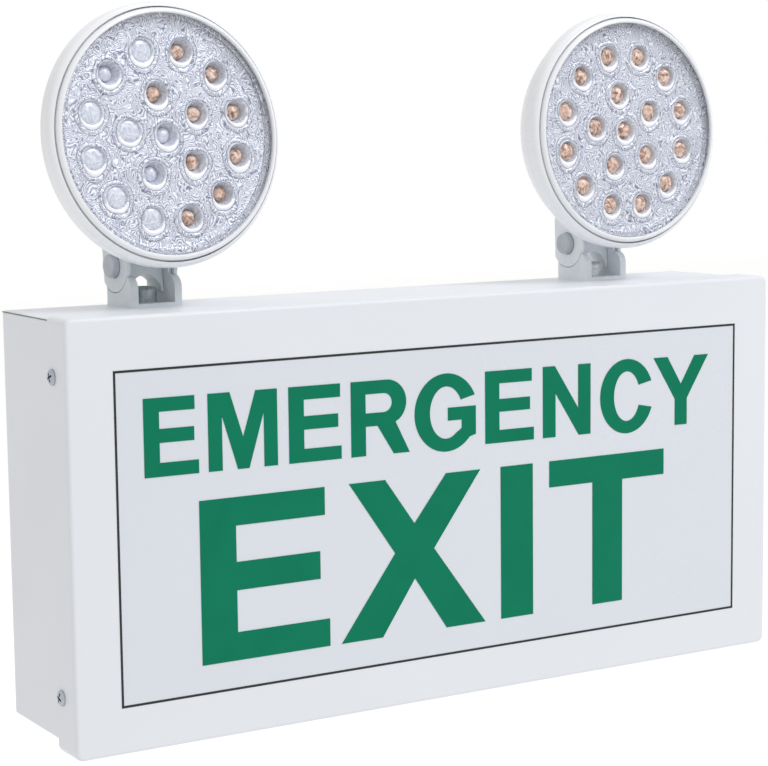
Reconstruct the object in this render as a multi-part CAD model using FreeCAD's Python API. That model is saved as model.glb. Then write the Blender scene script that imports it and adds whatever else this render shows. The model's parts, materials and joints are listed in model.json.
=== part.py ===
import FreeCAD, Part
import math
import os

# An illuminated exit sign with two adjustable lamp heads on its top.
# Units are millimetres. X runs to the viewer's right, -Y to the front and +Z up.
# The origin is the middle of the rear box's back face, which lies on the wall.

# Front cover
cover_width = 368.0
cover_height = 182.5
sign_depth = 71.0
sheet = 1.0
cover_lip = 18.8
cover_bend = 1.8
cover_corner = 3.5
window_from_side = 20.7
window_from_top = 22.3
window_from_bottom = 20.0

# Rear box
cover_gap = 0.3
bottom_step = 4.3
box_setback = 3.0
box_bend = 1.5

# Cover screws
screw_setback = 13.5
screw_edge = 24.5
screw_head_radius = 3.4
screw_head_height = 2.0
screw_radius = 1.6
screw_length = 7.0
hole_gap = 0.1

# Wall fixing and cable entry in the back plate
wall_hole_radius = 2.6
wall_hole_from_side = 17.7
wall_hole_from_top = 33.45
bush_from_side = 122.7
bush_from_top = 40.45
bush_bore = 6.5
bush_radius = 9.4
bush_flange_radius = 12.5
bush_flange = 2.0

# Sign panel and its clips
panel_gap = 0.8
panel_rebate = 6.0
panel_back = 2.0
clip_width = 14.0
clip_sheet = 0.8
clip_foot = 7.0
clip_arm = 9.0
clip_spacing = 0.4
stud_radius = 1.5
stud_length = 4.5
clip_nut_radius = 3.0
clip_nut_height = 2.0

# Reflector tray behind the sign panel and the boards on it
tray_behind_front = 29.0
tray_gap = 11.2
tray_flange = 10.0
standoff_radius = 4.0
standoff_inset = 8.5
tray_screw_radius = 1.5
tray_screw_head = 3.0
tray_screw_head_height = 1.8
tray_screw_length = 8.0
strip_margin = 19.0
strip_width = 12.0
strip_thickness = 1.2
strip_spread = 70.0
strip_leds = 12
strip_led_size = 3.5
strip_led_height = 0.8

# Battery pack and its strap
cell_diameter = 33.0
cell_height = 60.0
cell_count = 5
battery_from_side = 126.7
strap_width = 20.0
strap_sheet = 1.0
strap_gap = 0.3
strap_foot = 12.0
strap_screw_radius = 1.5
strap_screw_head = 3.0
strap_screw_head_height = 1.8

# Charger board
board_from_side = 87.7
board_from_top = 61.45
board_width = 112.0
board_height = 76.0
board_thickness = 1.6
board_standoff = 8.0
board_standoff_radius = 3.0
board_hole_edge = 5.0
board_screw_radius = 1.2
transformer_x = -30.0
transformer_z = 6.0
core_width = 48.0
core_height = 40.0
core_stack = 16.0
core_leg = 8.0
coil_depth = 24.0
coil_gap = 0.3
coil_bend = 3.0
capacitor_radius = 6.0
capacitor_height = 20.0
capacitor_x = 10.0
capacitor_spread = 18.0
relay_width = 19.0
relay_height = 15.5
relay_depth = 16.0
relay_bend = 1.0
relay_x = 37.0
relay_z = 2.0
terminal_pitch = 9.0
terminal_ways = 3
terminal_height = 12.0
terminal_depth = 14.0
terminal_x = 34.0
terminal_z = 29.0
terminal_screw_radius = 2.2
terminal_mouth_low = 3.0
terminal_mouth_high = 10.0

# Test switch and pilot lamp in the right side of the rear box
switch_from_wall = 26.0
switch_z = -8.0
switch_body_size = 14.0
switch_body_length = 18.0
switch_bush_radius = 5.0
switch_bush_length = 6.0
switch_nut_across = 14.0
switch_nut_height = 2.0
button_radius = 3.2
button_proud = 4.0
button_travel = 2.0
running_fit = 0.05
pilot_z = 16.0
pilot_radius = 3.9
pilot_flange_radius = 5.0
pilot_flange = 1.2
pilot_dome = 2.4
pilot_length = 12.0

# Swivel on the box's top, carrying each lamp head
swivel_from_side = 61.7
swivel_shift = -2.2
swivel_from_wall = 14.5
yoke_width = 25.0
yoke_depth = 24.5
yoke_floor = 1.5
yoke_shoulder = 13.5
yoke_nose = 7.5
yoke_back_radius = 4.0
yoke_gap_width = 18.0
yoke_ear_radius = 9.0
yoke_ear_back = 7.5
swivel_bolt_radius = 5.0
swivel_bolt_bore = 2.6
swivel_head_radius = 6.2
swivel_head_height = 6.5
swivel_head_bend = 2.0
swivel_bolt_end = 1.0
swivel_washer_radius = 10.5
swivel_washer = 1.5
swivel_nut_across = 16.0
swivel_nut_height = 6.0

# Knuckle and pivot bolt under each lamp head
pivot_height = 17.5
pivot_behind_swivel = 2.5
knuckle_ear = 1.6
knuckle_radius = 11.5
knuckle_back = 9.5
knuckle_gap = 0.3
knuckle_turn = 30.0
arch_height = 13.0
arch_radius = 4.0
tongue_thickness = 9.0
tongue_apex = 4.5
tongue_leg = 1.0
pad_back = 3.0
pad_low = 22.0
pad_top = 42.0
pad_overlap = 1.0
pivot_bolt_radius = 2.5
pivot_bolt_end = 1.0
pivot_head_radius = 5.1
pivot_head_height = 3.0
pivot_head_bend = 0.8
pivot_nut_across = 8.0
pivot_nut_height = 4.0
pad_screw_radius = 1.5
pad_screw_head = 2.9
pad_screw_head_height = 1.8
pad_screw_low = 28.0
pad_screw_high = 36.0

# Lamp head, turned about its own axis
lamp_rise = 53.7
lamp_forward = 33.4
lamp_depth = 30.0
rim_radius = 56.1
rim_front = 4.5
rim_back = 8.0
mouth_radius = 53.9
bowl_radius = 53.0
bowl_start = 10.5
bowl_swell = 5.0
back_radius = 32.0
shell_wall = 2.0
seat_depth = 4.0
seat_radius = 51.0
bezel_gap = 0.3
bezel_skirt = 1.0
bezel_proud = 2.0
bezel_inner = 51.0
bezel_step = 0.5
lens_thickness = 2.0
lens_dome = 3.0
lens_land = 0.7
lens_edge_gap = 0.2
optic_front = 3.0
optic_back = 9.0
optic_radius = 49.5
optic_land = 1.0
cup_mouth = 5.0
cup_throat = 2.8
outer_cups = 12
outer_cup_ring = 36.4
outer_cup_turn = -15.0
inner_cups = 5
inner_cup_ring = 17.7
inner_cup_turn = -12.0
lamp_board_radius = 47.0
lamp_board = 1.6
lamp_led_size = 3.4
lamp_led_height = 1.4

# How each head is turned: pan to the viewer's right and tilt upwards, in degrees
head_turns = {"left": (-1, 4.7, 4.9), "right": (1, 2.3, 2.0)}

# Places that follow from the sizes
box_width = cover_width - 2 * (sheet + cover_gap)
box_height = cover_height - sheet - cover_gap - bottom_step
box_top = box_height / 2
cover_top = box_top + cover_gap + sheet
front = -sign_depth
inner_face = front + sheet
box_front = inner_face + box_setback
window_width = cover_width - 2 * window_from_side
window_height = cover_height - window_from_top - window_from_bottom
window_middle = cover_top - window_from_top - window_height / 2
clip_pitch = clip_spacing * window_width
wall_hole_across = box_width - 2 * wall_hole_from_side
wall_hole_up = box_height - 2 * wall_hole_from_top
bush_x = bush_from_side - box_width / 2
bush_z = box_top - bush_from_top
tray_front = front + tray_behind_front
tray_back = tray_front + sheet
tray_width = box_width - 2 * (sheet + tray_gap)
tray_height = box_height - 2 * (sheet + tray_gap)
standoff_across = tray_width - 2 * standoff_inset
standoff_up = tray_height - 2 * standoff_inset
strip_length = tray_width - 2 * strip_margin
strip_led_pitch = strip_length / strip_leds
battery_x = battery_from_side - box_width / 2
board_x = box_width / 2 - board_from_side
board_z = box_top - board_from_top
swivel_spread = box_width - 2 * swivel_from_side
panel_rear = inner_face + panel_back
board_rear = -sheet - board_standoff
board_face = board_rear - board_thickness
lens_edge = mouth_radius - bezel_gap - bezel_skirt - lens_edge_gap
X_AXIS = FreeCAD.Vector(1, 0, 0)
Y_AXIS = FreeCAD.Vector(0, 1, 0)
Z_AXIS = FreeCAD.Vector(0, 0, 1)


def vec(x, y, z):
    return FreeCAD.Vector(x, y, z)


def block(x0, x1, y0, y1, z0, z1):
    return Part.makeBox(x1 - x0, y1 - y0, z1 - z0, vec(x0, y0, z0))


def rod(radius, length, start, axis):
    return Part.makeCylinder(radius, length, start, axis)


def fuse(shapes):
    first = shapes[0]
    if len(shapes) == 1:
        return first
    return first.multiFuse(shapes[1:]).removeSplitter()


def cut(shape, tools):
    return shape.cut(Part.makeCompound(tools)).removeSplitter()


def outline(start, *steps):
    """Closed wire: each step is an end point, or a middle point and an end point for an arc."""
    edges = []
    here = start
    for step in steps:
        if isinstance(step, tuple):
            middle, end = step
            edges.append(Part.Arc(here, middle, end).toShape())
        else:
            end = step
            edges.append(Part.makeLine(here, end))
        here = end
    if here.distanceToPoint(start) > 1e-6:
        edges.append(Part.makeLine(here, start))
    return Part.Wire(edges)


def turned(start, *steps):
    """Solid turned about the Y axis from an outline of (radius, place along the axis)."""
    def at(point):
        return vec(point[0], point[1], 0)
    ends = [(at(s[0]), at(s[1])) if isinstance(s[0], tuple) else at(s) for s in steps]
    face = Part.Face(outline(at(start), *ends))
    return face.revolve(vec(0, 0, 0), Y_AXIS, 360)


def hexagon(across, height, start, axis):
    """Hexagonal prism for a nut."""
    radius = across / math.sqrt(3)
    points = [vec(radius * math.cos(math.radians(60 * k)), radius * math.sin(math.radians(60 * k)), 0)
              for k in range(6)]
    prism = Part.Face(outline(*points)).extrude(vec(0, 0, height))
    prism.Placement = FreeCAD.Placement(start, FreeCAD.Rotation(Z_AXIS, axis))
    return prism


def edges_along(shape, axis, test):
    """Straight edges parallel to an axis whose middle passes a test."""
    found = []
    for edge in shape.Edges:
        if edge.Curve.TypeId != "Part::GeomLine":
            continue
        if abs(edge.Curve.Direction.dot(axis)) > 0.999 and test(edge.CenterOfMass):
            found.append(edge)
    return found


def pan_screw(radius, length, head_radius, head_height, seat, inward):
    """Screw with a domed head on a seat, its shank running inward."""
    outward = inward.negative()
    head = rod(head_radius, head_height, seat, outward)
    rim = [e for e in head.Edges if abs((e.CenterOfMass - seat).dot(outward) - head_height) < 1e-6]
    head = head.makeFillet(min(head_height, head_radius) * 0.6, rim[:1])
    return head.fuse(rod(radius, length, seat, inward)).removeSplitter()


def folded_pan(x_half, z_low, z_high, y_face, y_open, corner, bend):
    """Sheet pan with its face at y_face and its flanges running to y_open."""
    y_low, y_high = min(y_face, y_open), max(y_face, y_open)
    inward = 1 if y_open > y_face else -1

    def pan_block(inset, face, open_end, corner_r, bend_r):
        low, high = min(face, open_end), max(face, open_end)
        shape = block(-x_half + inset, x_half - inset, low, high, z_low + inset, z_high - inset)
        if corner_r > 0:
            shape = shape.makeFillet(corner_r, edges_along(shape, Y_AXIS, lambda p: True))
        if bend_r > 0:
            rim = [e for e in shape.Edges if abs(e.CenterOfMass.y - face) < 1e-6]
            shape = shape.makeFillet(bend_r, rim)
        return shape

    outer = pan_block(0, y_face, y_open, corner, bend)
    inner = pan_block(sheet, y_face + inward * sheet, y_open + inward * sheet,
                      max(corner - sheet, 0), max(bend - sheet, 0))
    return outer.cut(inner).removeSplitter()


def swivel_x(side):
    return swivel_shift + side * swivel_spread / 2


def cover_screw_places():
    """Seat of each cover screw on the cover's sides, with the way its shank runs."""
    places = []
    for side in (-1, 1):
        for z in (cover_top - screw_edge, cover_top - cover_height + screw_edge):
            places.append((vec(side * cover_width / 2, front + screw_setback, z), vec(-side, 0, 0)))
    return places


def clip_places():
    """Middle of each clip's seat edge above and below the sign panel, and the way outward."""
    places = []
    for side in (-1, 1):
        edge = window_middle + side * (window_height / 2 + panel_rebate)
        for step in (-1, 0, 1):
            places.append((step * clip_pitch, edge, side))
    return places


def clip_stud_z(edge, side):
    return edge + side * (clip_sheet + clip_foot / 2)


def front_cover():
    half = cover_width / 2
    shape = folded_pan(half, cover_top - cover_height, cover_top, front, front + cover_lip,
                       cover_corner, cover_bend)
    window = block(-window_width / 2, window_width / 2, front - sheet, inner_face + sheet,
                   window_middle - window_height / 2, window_middle + window_height / 2)
    holes = [rod(screw_radius + hole_gap, 3 * sheet, seat - inward * sheet, inward)
             for seat, inward in cover_screw_places()]
    shape = cut(shape, [window] + holes)
    studs = [rod(stud_radius, stud_length, vec(x, inner_face, clip_stud_z(edge, side)), Y_AXIS)
             for x, edge, side in clip_places()]
    return fuse([shape] + studs)


def rear_box():
    half = box_width / 2
    shape = folded_pan(half, -box_top, box_top, 0, box_front, box_bend, box_bend)
    holes = [rod(screw_radius + hole_gap, 3 * sheet, seat + inward * cover_gap, inward)
             for seat, inward in cover_screw_places()]
    for x in (-wall_hole_across / 2, wall_hole_across / 2):
        for z in (-wall_hole_up / 2, wall_hole_up / 2):
            holes.append(rod(wall_hole_radius, 3 * sheet, vec(x, -2 * sheet, z), Y_AXIS))
    holes.append(rod(bush_radius + hole_gap, 3 * sheet, vec(bush_x, -2 * sheet, bush_z), Y_AXIS))
    for side in (-1, 1):
        holes.append(rod(swivel_bolt_radius + hole_gap, 3 * sheet,
                         vec(swivel_x(side), -swivel_from_wall, box_top - 2 * sheet), Z_AXIS))
    holes.append(rod(switch_bush_radius + hole_gap, 3 * sheet,
                     vec(half - 2 * sheet, -switch_from_wall, switch_z), X_AXIS))
    holes.append(rod(pilot_radius + hole_gap, 3 * sheet,
                     vec(half - 2 * sheet, -switch_from_wall, pilot_z), X_AXIS))
    return cut(shape, holes)


def cover_screws():
    return [pan_screw(screw_radius, screw_length, screw_head_radius, screw_head_height, seat, inward)
            for seat, inward in cover_screw_places()]


def sign_panel():
    half_x = window_width / 2
    half_z = window_height / 2
    face = block(-half_x + panel_gap, half_x - panel_gap, front, inner_face + panel_back,
                 window_middle - half_z + panel_gap, window_middle + half_z - panel_gap)
    back = block(-half_x - panel_rebate, half_x + panel_rebate, inner_face, panel_rear,
                 window_middle - half_z - panel_rebate, window_middle + half_z + panel_rebate)
    return fuse([face, back])


def panel_clips():
    clips = []
    for x, edge, side in clip_places():
        def strip(z_from, z_to, y_from, y_to):
            return block(x - clip_width / 2, x + clip_width / 2, y_from, y_to,
                         min(z_from, z_to), max(z_from, z_to))
        riser = edge + side * clip_sheet
        foot = strip(edge, riser + side * clip_foot, inner_face, inner_face + clip_sheet)
        wall = strip(edge, riser, inner_face, panel_rear + clip_sheet)
        arm = strip(riser, edge - side * clip_arm, panel_rear, panel_rear + clip_sheet)
        hole = rod(stud_radius + hole_gap, 3 * clip_sheet,
                   vec(x, inner_face - clip_sheet, clip_stud_z(edge, side)), Y_AXIS)
        clips.append(cut(fuse([foot, wall, arm]), [hole]))
    return clips


def clip_nuts():
    nuts = []
    for x, edge, side in clip_places():
        seat = vec(x, inner_face + clip_sheet, clip_stud_z(edge, side))
        nuts.append(rod(clip_nut_radius, clip_nut_height, seat, Y_AXIS).cut(
            rod(stud_radius + running_fit, 3 * clip_nut_height, seat - Y_AXIS * clip_nut_height, Y_AXIS)))
    return nuts


def tray_fixings():
    return [(x * standoff_across / 2, z * standoff_up / 2) for x in (-1, 1) for z in (-1, 1)]


def reflector_tray():
    outer = block(-tray_width / 2, tray_width / 2, tray_front - tray_flange, tray_back,
                  -tray_height / 2, tray_height / 2)
    inner = block(-tray_width / 2 + sheet, tray_width / 2 - sheet, tray_front - 2 * tray_flange,
                  tray_front, -tray_height / 2 + sheet, tray_height / 2 - sheet)
    holes = [rod(tray_screw_radius + hole_gap, 3 * sheet, vec(x, tray_front - sheet, z), Y_AXIS)
             for x, z in tray_fixings()]
    return cut(outer, [inner] + holes)


def tray_standoffs():
    pieces = []
    for x, z in tray_fixings():
        length = -sheet - tray_back
        post = rod(standoff_radius, length, vec(x, tray_back, z), Y_AXIS)
        bore = rod(tray_screw_radius + running_fit, tray_screw_length, vec(x, tray_back, z), Y_AXIS)
        pieces.append(post.cut(bore))
    return pieces


def tray_screws():
    return [pan_screw(tray_screw_radius, tray_screw_length - sheet, tray_screw_head,
                      tray_screw_head_height, vec(x, tray_front, z), Y_AXIS)
            for x, z in tray_fixings()]


def strip_rows():
    return (-strip_spread / 2, strip_spread / 2)


def sign_led_boards():
    return [block(-strip_length / 2, strip_length / 2, tray_front - strip_thickness, tray_front,
                  z - strip_width / 2, z + strip_width / 2) for z in strip_rows()]


def sign_leds():
    leds = []
    top = tray_front - strip_thickness
    half = strip_led_size / 2
    for z in strip_rows():
        for k in range(strip_leds):
            x = (k - (strip_leds - 1) / 2) * strip_led_pitch
            leds.append(block(x - half, x + half, top - strip_led_height, top, z - half, z + half))
    return leds


def slot_outline(length, radius, x_middle, z):
    """Closed outline of a row of cells seen from above, its flat back on the back plate."""
    half = length / 2 - radius
    y = -sheet - radius
    left, right = x_middle - half, x_middle + half
    return (vec(left, y + radius, z),
            (vec(left - radius, y, z), vec(left, y - radius, z)),
            vec(right, y - radius, z),
            (vec(right + radius, y, z), vec(right, y + radius, z)))


def battery_pack():
    low = -box_top + box_bend
    wire = outline(*slot_outline(cell_count * cell_diameter, cell_diameter / 2, battery_x, low))
    return Part.Face(wire).extrude(vec(0, 0, cell_height))


def strap_screw_places():
    reach = cell_count * cell_diameter / 2 + strap_gap + strap_sheet + strap_foot / 2
    middle = -box_top + sheet + cell_height / 2
    return [vec(battery_x + side * reach, -sheet - strap_sheet, middle) for side in (-1, 1)]


def battery_strap():
    low = -box_top + sheet + cell_height / 2 - strap_width / 2
    half = cell_count * cell_diameter / 2

    def hoop(grow):
        """Band round the front of the pack, straight from its middle to the back plate."""
        radius = cell_diameter / 2 + grow
        y = -sheet - cell_diameter / 2
        left, right = battery_x - half + cell_diameter / 2, battery_x + half - cell_diameter / 2
        lean = radius * math.sqrt(0.5)
        wire = outline(vec(left - radius, -sheet, low), vec(left - radius, y, low),
                       (vec(left - lean, y - lean, low), vec(left, y - radius, low)),
                       vec(right, y - radius, low),
                       (vec(right + lean, y - lean, low), vec(right + radius, y, low)),
                       vec(right + radius, -sheet, low))
        return Part.Face(wire).extrude(vec(0, 0, strap_width))

    band = hoop(strap_gap + strap_sheet)
    span = half + strap_gap + strap_sheet + strap_foot
    feet = block(battery_x - span, battery_x + span, -sheet - strap_sheet, -sheet,
                 low, low + strap_width)
    holes = [rod(strap_screw_radius + hole_gap, 3 * strap_sheet, place - Y_AXIS * strap_sheet, Y_AXIS)
             for place in strap_screw_places()]
    return cut(fuse([band, feet]), [hoop(strap_gap)] + holes)


def strap_screws():
    return [pan_screw(strap_screw_radius, strap_sheet, strap_screw_head, strap_screw_head_height,
                      place, Y_AXIS) for place in strap_screw_places()]


def board_holes():
    across = board_width / 2 - board_hole_edge
    up = board_height / 2 - board_hole_edge
    return [(board_x + sx * across, board_z + sz * up) for sx in (-1, 1) for sz in (-1, 1)]


def charger_board():
    plate = block(board_x - board_width / 2, board_x + board_width / 2, board_face, board_rear,
                  board_z - board_height / 2, board_z + board_height / 2)
    return cut(plate, [rod(board_screw_radius + hole_gap, 3 * board_thickness,
                           vec(x, board_face - board_thickness, z), Y_AXIS) for x, z in board_holes()])


def board_standoffs():
    pieces = []
    for x, z in board_holes():
        post = rod(board_standoff_radius, board_standoff, vec(x, board_rear, z), Y_AXIS)
        pieces.append(post.cut(rod(board_screw_radius + running_fit, board_standoff / 2,
                                   vec(x, board_rear, z), Y_AXIS)))
    return pieces


def board_screws():
    return [pan_screw(board_screw_radius, board_thickness + board_standoff / 2 - hole_gap,
                      2 * board_screw_radius, board_screw_radius, vec(x, board_face, z), Y_AXIS)
            for x, z in board_holes()]


def transformer_core():
    x, z = board_x + transformer_x, board_z + transformer_z
    middle = board_face - coil_depth / 2
    y0, y1 = middle - core_stack / 2, middle + core_stack / 2
    body = block(x - core_width / 2, x + core_width / 2, y0, y1, z - core_height / 2, z + core_height / 2)
    windows = []
    for side in (-1, 1):
        inner = x + side * core_leg
        outer = x + side * (core_width / 2 - core_leg)
        windows.append(block(min(inner, outer), max(inner, outer), y0 - coil_gap, y1 + coil_gap,
                             z - core_height / 2 + core_leg, z + core_height / 2 - core_leg))
    return cut(body, windows)


def transformer_coil():
    x, z = board_x + transformer_x, board_z + transformer_z
    middle = board_face - coil_depth / 2
    half_x = core_width / 2 - core_leg - coil_gap
    half_z = core_height / 2 - core_leg - coil_gap
    coil = block(x - half_x, x + half_x, board_face - coil_depth, board_face, z - half_z, z + half_z)
    coil = coil.makeFillet(coil_bend, edges_along(coil, Z_AXIS, lambda p: True))
    leg = block(x - core_leg - coil_gap, x + core_leg + coil_gap, middle - core_stack / 2 - coil_gap,
                middle + core_stack / 2 + coil_gap, z - half_z - coil_gap, z + half_z + coil_gap)
    return cut(coil, [leg])


def capacitors():
    cans = []
    for side in (-1, 1):
        foot = vec(board_x + capacitor_x, board_face, board_z + side * capacitor_spread / 2)
        cans.append(rod(capacitor_radius, capacitor_height, foot, Y_AXIS.negative()))
    return cans


def relay():
    x, z = board_x + relay_x, board_z + relay_z
    case = block(x - relay_width / 2, x + relay_width / 2, board_face - relay_depth, board_face,
                 z - relay_height / 2, z + relay_height / 2)
    return case.makeFillet(relay_bend, edges_along(case, Y_AXIS, lambda p: True))


def terminal_block():
    x, z = board_x + terminal_x, board_z + terminal_z
    half = terminal_pitch * terminal_ways / 2
    z0, z1 = z - terminal_height / 2, z + terminal_height / 2
    body = block(x - half, x + half, board_face - terminal_depth, board_face, z0, z1)
    tools = []
    for k in range(terminal_ways):
        at = x + (k - (terminal_ways - 1) / 2) * terminal_pitch
        tools.append(rod(terminal_screw_radius, terminal_depth / 3,
                         vec(at, board_face - terminal_depth, z), Y_AXIS))
        tools.append(block(at - terminal_pitch / 3, at + terminal_pitch / 3,
                           board_face - terminal_mouth_high, board_face - terminal_mouth_low,
                           z1 - terminal_height / 3, z1))
    return cut(body, tools)


def cable_bush():
    place = vec(bush_x, 0, bush_z)
    inward = Y_AXIS.negative()
    barrel = rod(bush_radius, sheet + bush_flange, place, inward)
    flange = rod(bush_flange_radius, bush_flange, place + inward * sheet, inward)
    bore = rod(bush_bore, sheet + bush_flange, place, inward)
    return fuse([barrel, flange]).cut(bore)


def switch_place(inset):
    return vec(box_width / 2 - inset, -switch_from_wall, switch_z)


def switch_body():
    inner = box_width / 2 - sheet
    half = switch_body_size / 2
    case = block(inner - switch_body_length, inner, -switch_from_wall - half, -switch_from_wall + half,
                 switch_z - half, switch_z + half)
    bush = rod(switch_bush_radius, sheet + switch_bush_length, switch_place(sheet), X_AXIS)
    depth = switch_bush_length + sheet + 2 * button_travel
    well = rod(button_radius + running_fit, depth, switch_place(depth - switch_bush_length), X_AXIS)
    return fuse([case, bush]).cut(well)


def switch_nut():
    nut = hexagon(switch_nut_across, switch_nut_height, switch_place(0), X_AXIS)
    return nut.cut(rod(switch_bush_radius + running_fit, 3 * switch_nut_height,
                       switch_place(switch_nut_height), X_AXIS))


def test_button():
    seat = switch_bush_length + sheet
    length = seat + button_proud
    stem = rod(button_radius, length, switch_place(sheet), X_AXIS)
    tip = [e for e in stem.Edges if abs(e.CenterOfMass.x - box_width / 2 + sheet - length) < 1e-6]
    return stem.makeFillet(button_radius / 4, tip[:1])


def pilot_lamp():
    place = vec(box_width / 2, -switch_from_wall, pilot_z)
    body = rod(pilot_radius, pilot_length, place, X_AXIS.negative())
    flange = rod(pilot_flange_radius, pilot_flange, place, X_AXIS)
    dome = Part.makeSphere(pilot_radius, place)
    dome = dome.common(block(place.x + pilot_flange / 2, place.x + pilot_flange + pilot_dome,
                             place.y - pilot_radius, place.y + pilot_radius,
                             place.z - pilot_radius, place.z + pilot_radius))
    return fuse([body, flange, dome])


# Swivel pieces are drawn with the swivel's axis at the origin and the box's top at z = 0.

def swivel_bolt():
    head = rod(swivel_head_radius, swivel_head_height, vec(0, 0, yoke_floor), Z_AXIS)
    top = [e for e in head.Edges if abs(e.CenterOfMass.z - yoke_floor - swivel_head_height) < 1e-6]
    head = head.makeFillet(swivel_head_bend, top[:1])
    reach = yoke_floor + sheet + swivel_washer + swivel_nut_height + swivel_bolt_end
    shank = rod(swivel_bolt_radius, reach, vec(0, 0, yoke_floor - reach), Z_AXIS)
    bore = rod(swivel_bolt_bore, 2 * reach, vec(0, 0, -reach), Z_AXIS)
    return fuse([head, shank]).cut(bore)


def swivel_washer_ring():
    under = -sheet - swivel_washer
    ring = rod(swivel_washer_radius, swivel_washer, vec(0, 0, under), Z_AXIS)
    hole = rod(swivel_bolt_radius + hole_gap, 3 * swivel_washer, vec(0, 0, under - swivel_washer), Z_AXIS)
    return ring.cut(hole)


def swivel_nut():
    under = -sheet - swivel_washer - swivel_nut_height
    nut = hexagon(swivel_nut_across, swivel_nut_height, vec(0, 0, under), Z_AXIS)
    return nut.cut(rod(swivel_bolt_radius + running_fit, 3 * swivel_nut_height,
                       vec(0, 0, under - swivel_nut_height), Z_AXIS))


def yoke():
    half = yoke_width / 2
    deep = yoke_depth / 2
    pivot = vec(0, pivot_behind_swivel, pivot_height)
    nose_round = yoke_shoulder - yoke_nose
    lean = nose_round * math.sqrt(0.5)
    side = outline(vec(0, -deep, 0), vec(0, -deep, yoke_nose),
                   (vec(0, -deep + nose_round - lean, yoke_nose + lean),
                    vec(0, -deep + nose_round, yoke_shoulder)),
                   vec(0, deep, yoke_shoulder), vec(0, deep, 0))
    lower = Part.Face(side).extrude(vec(yoke_width, 0, 0))
    lower.translate(vec(-half, 0, 0))
    lower = lower.makeFillet(yoke_back_radius, edges_along(lower, Z_AXIS, lambda p: p.y > 0))
    slot_half = yoke_gap_width / 2
    ear_outer = half - knuckle_ear - knuckle_gap
    ears = []
    recesses = []
    for x0, x1, outer in ((-ear_outer, -slot_half, -half), (slot_half, ear_outer, ear_outer)):
        disc = rod(yoke_ear_radius, x1 - x0, vec(x0, pivot.y, pivot.z), X_AXIS)
        stem = block(x0, x1, pivot.y - yoke_ear_radius, pivot.y + yoke_ear_back, yoke_floor, pivot.z)
        ears += [disc, stem]
        recesses.append(rod(knuckle_radius + knuckle_gap, half - ear_outer,
                            vec(outer, pivot.y, pivot.z), X_AXIS))
    slot = block(-slot_half, slot_half, -yoke_depth, yoke_depth, yoke_floor, pivot.z + yoke_depth)
    swivel = rod(swivel_bolt_radius + running_fit, 3 * yoke_floor, vec(0, 0, -yoke_floor), Z_AXIS)
    bore = rod(pivot_bolt_radius + running_fit, yoke_width, vec(-half, pivot.y, pivot.z), X_AXIS)
    body = cut(lower, recesses)
    return cut(fuse([body] + ears), [slot, swivel, bore])


# Knuckle pieces are drawn with the pivot at the origin and the lamp's axis level.

def lamp_axis_place(along):
    """Point on the lamp's axis, measured backwards from the plane of its mouth."""
    return vec(0, -lamp_forward + along, lamp_rise)


def on_lamp_axis(shape):
    shape.translate(lamp_axis_place(0))
    return shape


def bowl_middle(grow):
    """Point half way down the bowl of the lamp, where it swells outwards."""
    return ((bowl_radius + back_radius) / 2 + bowl_swell + grow,
            (bowl_start + lamp_depth + bowl_swell) / 2 + grow)


def lamp_outside(grow):
    """Steps down the outside of the lamp from its rim to its flat back, grown outwards."""
    return [(rim_radius + grow, rim_back + grow),
            (bowl_radius + grow, bowl_start + grow),
            (bowl_middle(grow), (back_radius + grow, lamp_depth + grow))]


def lamp_envelope(clearance):
    """Solid that holds the whole lamp, grown outwards by a clearance behind its mouth."""
    return on_lamp_axis(turned((0, -bezel_proud), (rim_radius + clearance, -bezel_proud),
                               *lamp_outside(clearance), (0, lamp_depth + clearance)))


def knuckle():
    half = yoke_width / 2
    low = -math.sqrt(knuckle_radius ** 2 - knuckle_back ** 2)
    turn = math.radians(knuckle_turn)
    round_middle = vec(0, -knuckle_radius * math.sin(turn), -knuckle_radius * math.cos(turn))
    lamp_back = -lamp_forward + lamp_depth
    side = outline(vec(0, knuckle_back, low),
                   (round_middle, vec(0, -knuckle_radius, 0)),
                   vec(0, -knuckle_radius, knuckle_radius),
                   vec(0, lamp_back - pad_overlap, pad_top), vec(0, pad_back, pad_top),
                   vec(0, pad_back, pad_low), vec(0, knuckle_back, knuckle_radius))
    body = Part.Face(side).extrude(vec(yoke_width, 0, 0))
    body.translate(vec(-half, 0, 0))
    opening = half - knuckle_ear
    arch = block(-opening, opening, -2 * lamp_forward, 2 * lamp_forward,
                 -2 * knuckle_radius, arch_height)
    arch = arch.makeFillet(arch_radius, edges_along(arch, Y_AXIS, lambda p: p.z > 0))
    tongue_half = yoke_gap_width / 2 - knuckle_gap
    legs = tongue_half - tongue_leg
    tongue = block(-tongue_half, tongue_half, -tongue_thickness / 2, tongue_thickness / 2,
                   -tongue_apex - legs, arch_height + pad_overlap)
    tongue = tongue.cut(rod(legs, 2 * tongue_thickness, vec(0, -tongue_thickness, -tongue_apex - legs),
                            Y_AXIS))
    bore = rod(pivot_bolt_radius + hole_gap, yoke_width, vec(-half, 0, 0), X_AXIS)
    screws = [rod(pad_screw_radius + hole_gap, 2 * lamp_forward, vec(0, -lamp_forward, z), Y_AXIS)
              for z in (pad_screw_low, pad_screw_high)]
    return cut(fuse([body.cut(arch), tongue]), [lamp_envelope(0), bore] + screws)


def pivot_bolt():
    half = yoke_width / 2
    head = rod(pivot_head_radius, pivot_head_height, vec(-half - pivot_head_height, 0, 0), X_AXIS)
    rim = [e for e in head.Edges if abs(e.CenterOfMass.x + half + pivot_head_height) < 1e-6]
    head = head.makeFillet(pivot_head_bend, rim[:1])
    length = yoke_width + pivot_nut_height + pivot_bolt_end
    return fuse([head, rod(pivot_bolt_radius, length, vec(-half, 0, 0), X_AXIS)])


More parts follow.
